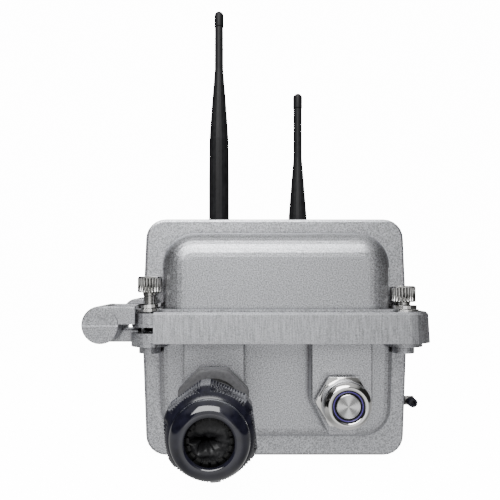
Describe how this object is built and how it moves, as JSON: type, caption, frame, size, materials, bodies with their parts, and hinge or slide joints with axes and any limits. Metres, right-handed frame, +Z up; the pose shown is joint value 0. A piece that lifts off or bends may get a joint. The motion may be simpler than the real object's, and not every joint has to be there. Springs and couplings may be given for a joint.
{
  "type": "outdoor wireless bridge",
  "caption": "Weatherproof outdoor radio bridge: hinged cast case with captive cover screws, sealed cable entry, illuminated push button and swivelling stub antennas.",
  "frame": {"origin": "centre of the case's flat underside", "axes": "+X towards the side away from the hinges, +Y towards the end with the antennas, +Z up, out through the lid"},
  "size_m": [0.1411, 0.1863, 0.2496],
  "materials": {
    "cast_alloy": "cast, fine texture",
    "stainless": "polished",
    "nickel": "plated",
    "black_nylon": "semi-gloss",
    "grey_nylon": "matte",
    "seal_rubber": "matte",
    "whip_jacket": "satin",
    "brass": "plated",
    "light_ring": "lit",
    "board": "coated",
    "tinned_steel": "tinned",
    "coax_jacket": "satin"
  },
  "bodies": {
    "base": {"antenna_left_connector": "brass", "antenna_left_nut": "brass", "antenna_left_washer": "seal_rubber", "antenna_right_connector": "brass", "antenna_right_nut": "brass", "antenna_right_washer": "seal_rubber", "base_casting": "cast_alloy", "button_bezel": "stainless", "button_contact_block": "black_nylon", "button_gasket": "seal_rubber", "button_light_ring": "light_ring", "button_locknut": "stainless", "button_nut": "stainless", "button_surround": "black_nylon", "coax_left": "coax_jacket", "coax_right": "coax_jacket", "ethernet_jack": "tinned_steel", "gland_body": "black_nylon", "gland_locknut": "black_nylon", "gland_nut": "grey_nylon", "gland_seal": "seal_rubber", "ground_grommet": "seal_rubber", "ground_screw": "black_nylon", "ground_stud": "nickel", "heat_block": "cast_alloy", "hinge_pin_front": "stainless", "hinge_pin_rear": "stainless", "lid_gasket": "seal_rubber", "main_board": "board", "power_module": "black_nylon", "radio_shield": "tinned_steel"},
    "lid": {"lid_casting": "cast_alloy", "screw_front_left_flat_washer": "stainless", "screw_front_left_split_washer": "stainless", "screw_front_right_flat_washer": "stainless", "screw_front_right_split_washer": "stainless", "screw_rear_left_flat_washer": "stainless", "screw_rear_left_split_washer": "stainless", "screw_rear_right_flat_washer": "stainless", "screw_rear_right_split_washer": "stainless"},
    "ring_front_left": {"screw_front_left_retaining_ring": "stainless"},
    "bolt_front_left": {"screw_front_left": "nickel"},
    "ring_front_right": {"screw_front_right_retaining_ring": "stainless"},
    "bolt_front_right": {"screw_front_right": "nickel"},
    "ring_rear_left": {"screw_rear_left_retaining_ring": "stainless"},
    "bolt_rear_left": {"screw_rear_left": "nickel"},
    "ring_rear_right": {"screw_rear_right_retaining_ring": "stainless"},
    "bolt_rear_right": {"screw_rear_right": "nickel"},
    "gland_inner": {"gland_insert": "seal_rubber", "gland_claw": "black_nylon"},
    "gland_cap_body": {"gland_cap": "black_nylon"},
    "button": {"button_cap": "stainless"},
    "elbow_left": {"antenna_left_elbow": "whip_jacket", "antenna_left_pivot_pin": "stainless"},
    "whip_left": {"antenna_left_whip": "whip_jacket", "antenna_left_tip": "whip_jacket"},
    "elbow_right": {"antenna_right_elbow": "whip_jacket", "antenna_right_pivot_pin": "stainless"},
    "whip_right": {"antenna_right_whip": "whip_jacket", "antenna_right_tip": "whip_jacket"}
  },
  "joints": [
    {"name": "lid_hinge", "type": "hinge", "parent": "base", "child": "lid", "pos_m": [-0.0707, 0, 0.0571], "axis": [0, -1, 0], "range_deg": [0, 110]},
    {"name": "travel_front_left", "type": "slide", "parent": "lid", "child": "ring_front_left", "axis": [0, 0, 1], "range_m": [-0.0034, 0]},
    {"name": "turn_front_left", "type": "hinge", "parent": "ring_front_left", "child": "bolt_front_left", "pos_m": [-0.0522, -0.0465, 0.07], "axis": [0, 0, 1], "range_deg": [-1224, 0]},
    {"name": "travel_front_right", "type": "slide", "parent": "lid", "child": "ring_front_right", "axis": [0, 0, 1], "range_m": [-0.0008, 0.0036]},
    {"name": "turn_front_right", "type": "hinge", "parent": "ring_front_right", "child": "bolt_front_right", "pos_m": [0.0522, -0.0465, 0.07], "axis": [0, 0, 1], "range_deg": [-288, 1296]},
    {"name": "travel_rear_left", "type": "slide", "parent": "lid", "child": "ring_rear_left", "axis": [0, 0, 1], "range_m": [-0.0042, 0]},
    {"name": "turn_rear_left", "type": "hinge", "parent": "ring_rear_left", "child": "bolt_rear_left", "pos_m": [-0.0522, 0.0465, 0.07], "axis": [0, 0, 1], "range_deg": [-1512, 0]},
    {"name": "travel_rear_right", "type": "slide", "parent": "lid", "child": "ring_rear_right", "axis": [0, 0, 1], "range_m": [-0.0008, 0.0036]},
    {"name": "turn_rear_right", "type": "hinge", "parent": "ring_rear_right", "child": "bolt_rear_right", "pos_m": [0.0522, 0.0465, 0.07], "axis": [0, 0, 1], "range_deg": [-288, 1296]},
    {"name": "gland_travel", "type": "slide", "parent": "base", "child": "gland_inner", "axis": [0, -1, 0], "range_m": [0, 0.0045]},
    {"name": "gland_turn", "type": "hinge", "parent": "gland_inner", "child": "gland_cap_body", "pos_m": [-0.0256, -0.1, 0.027], "axis": [0, -1, 0], "range_deg": [0, 1080]},
    {"name": "button_press", "type": "slide", "parent": "base", "child": "button", "axis": [0, 1, 0], "range_m": [0, 0.0022], "stiffness_N_per_m": 250, "springref_m": -0.0008},
    {"name": "swivel_left", "type": "hinge", "parent": "base", "child": "elbow_left", "pos_m": [-0.0256, 0.0728, 0.027], "axis": [0, -1, 0], "range_deg": [-6, 90]},
    {"name": "tilt_left", "type": "hinge", "parent": "elbow_left", "child": "whip_left", "pos_m": [-0.0256, 0.0728, 0.027], "axis": [-1, 0, 0], "range_deg": [0, 90]},
    {"name": "swivel_right", "type": "hinge", "parent": "base", "child": "elbow_right", "pos_m": [0.0256, 0.0728, 0.027], "axis": [0, 1, 0], "range_deg": [-6, 90]},
    {"name": "tilt_right", "type": "hinge", "parent": "elbow_right", "child": "whip_right", "pos_m": [0.0256, 0.0728, 0.027], "axis": [-1, 0, 0], "range_deg": [0, 90]}
  ],
  "couplings": [
    {"joint": "turn_front_left", "follows": "travel_front_left", "rad_per_m": 6283.2},
    {"joint": "turn_front_right", "follows": "travel_front_right", "rad_per_m": 6283.2},
    {"joint": "turn_rear_left", "follows": "travel_rear_left", "rad_per_m": 6283.2},
    {"joint": "turn_rear_right", "follows": "travel_rear_right", "rad_per_m": 6283.2},
    {"joint": "gland_turn", "follows": "gland_travel", "rad_per_m": 4188.8}
  ]
}
